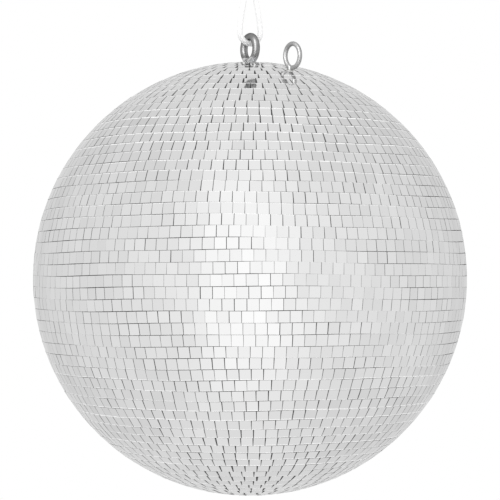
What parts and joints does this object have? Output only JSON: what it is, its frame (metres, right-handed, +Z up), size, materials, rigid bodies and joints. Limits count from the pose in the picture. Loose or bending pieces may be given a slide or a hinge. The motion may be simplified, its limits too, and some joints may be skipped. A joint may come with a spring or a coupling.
{
  "type": "mirror ball",
  "caption": "Hollow ball covered in rows of small square mirror tiles, hung by a bent steel eye from a looped white cord and a swivel, with a second safety eye beside it.",
  "frame": {"origin": "centre of the hole in the swivel's lug, by which the ball hangs", "axes": "+Z up along the line on which the ball hangs, +Y along the lug's hole and away from the viewer, +X to the viewer's right"},
  "size_m": [0.4, 0.4, 0.5627],
  "materials": {
    "mirror_glass": "polished",
    "tile_glue": "matte",
    "core_plastic": "matte",
    "bright_steel": "polished",
    "pale_steel": "satin",
    "zinc_steel": "satin",
    "swivel_steel": "satin",
    "thrust_brass": "satin",
    "rivet_aluminium": "satin",
    "bush_plastic": "matte",
    "white_cord": "matte"
  },
  "bodies": {
    "top_fitting": {"swivel_housing": "swivel_steel", "swivel_end_cap": "swivel_steel", "swivel_thrust_washer": "thrust_brass"},
    "swivel_eye": {"swivel_lower_eye": "swivel_steel"},
    "cord": {"cord_upper_loop": "white_cord", "cord_knot": "white_cord", "cord_lower_loop": "white_cord"},
    "ball": {"hanging_eye": "bright_steel", "eye_lock_nut": "zinc_steel", "top_plate": "zinc_steel", "inner_eye_washer": "zinc_steel", "inner_eye_nut": "zinc_steel", "spreader_plate": "zinc_steel", "safety_eye_washer": "zinc_steel", "safety_eye_nut": "zinc_steel", "spreader_rivets": "rivet_aluminium", "safety_eye": "pale_steel", "safety_eye_bush": "bush_plastic", "core_upper_shell": "core_plastic", "core_lower_shell": "core_plastic", "core_joint_ring": "core_plastic", "tile_glue_upper": "tile_glue", "tile_glue_lower": "tile_glue", "bottom_mirror_disc": "mirror_glass", "mirror_rows_lower_1": "mirror_glass", "mirror_rows_lower_2": "mirror_glass", "mirror_rows_lower_3": "mirror_glass", "mirror_rows_lower_4": "mirror_glass", "mirror_rows_lower_5": "mirror_glass", "mirror_rows_lower_6": "mirror_glass", "mirror_rows_upper_1": "mirror_glass", "mirror_rows_upper_2": "mirror_glass", "mirror_rows_upper_3": "mirror_glass", "mirror_rows_upper_4": "mirror_glass", "mirror_rows_upper_5": "mirror_glass", "mirror_rows_upper_6": "mirror_glass"}
  },
  "joints": [
    {"name": "spin", "type": "hinge", "parent": "top_fitting", "child": "swivel_eye", "pos_m": [0, 0, -0.03], "axis": [0, 0, 1], "continuous": true},
    {"name": "sway", "type": "hinge", "parent": "swivel_eye", "child": "cord", "pos_m": [0, 0, -0.046], "axis": [-0.866, -0.5, 0], "range_deg": [-30, 30]},
    {"name": "swing", "type": "hinge", "parent": "cord", "child": "ball", "pos_m": [0, 0, -0.1287], "axis": [0.5, -0.866, 0], "range_deg": [-30, 30]}
  ]
}
